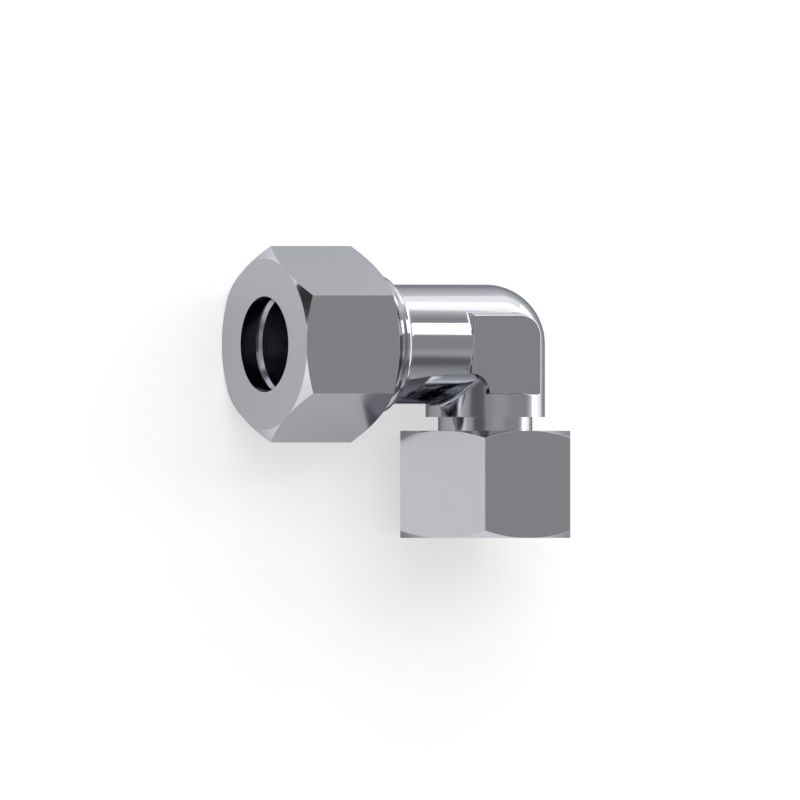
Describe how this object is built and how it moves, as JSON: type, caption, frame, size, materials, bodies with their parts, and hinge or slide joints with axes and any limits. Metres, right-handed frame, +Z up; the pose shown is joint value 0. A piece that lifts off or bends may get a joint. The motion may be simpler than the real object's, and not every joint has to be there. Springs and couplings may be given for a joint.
{
  "type": "compression elbow",
  "caption": "Right-angle metal tube elbow with a union nut and cutting ring on one arm, a standpipe with its own swivel nut on the other, and wrench pads on the corner.",
  "frame": {"origin": "middle of the footprint's bounding box, on the floor that the nuts lie on", "axes": "+X from the union nut along the tube arm towards the corner, +Y from the standpipe end towards the corner, +Z up, square to the plane of both arms"},
  "size_m": [0.056, 0.0464, 0.027],
  "materials": {
    "forged_steel": "polished forged and turned steel, bright and slightly soft in its reflections",
    "ring_steel": "hardened turned steel, fine turning marks",
    "nut_steel": "polished steel, flats nearly mirror bright"
  },
  "bodies": {
    "elbow": {"elbow_body": "forged_steel", "swivel_cutting_ring": "ring_steel"},
    "tube_ring": {"tube_cutting_ring": "ring_steel"},
    "tube_nut": {"tube_nut": "nut_steel"},
    "swivel_nut": {"swivel_nut": "nut_steel"}
  },
  "joints": [
    {"name": "tube_ring_travel", "type": "slide", "parent": "elbow", "child": "tube_ring", "axis": [-1, 0, 0], "range_m": [0, 0.003]},
    {"name": "tube_nut_turn", "type": "hinge", "parent": "tube_ring", "child": "tube_nut", "pos_m": [-0.01953, 0.00757, 0.0135], "axis": [-1, 0, 0], "range_deg": [0, 720]},
    {"name": "swivel_nut_spin", "type": "hinge", "parent": "elbow", "child": "swivel_nut", "pos_m": [0.01244, -0.01466, 0.0135], "axis": [0, -1, 0], "continuous": true}
  ],
  "couplings": [
    {"joint": "tube_ring_travel", "follows": "tube_nut_turn", "m_per_rad": 0.00023873}
  ]
}
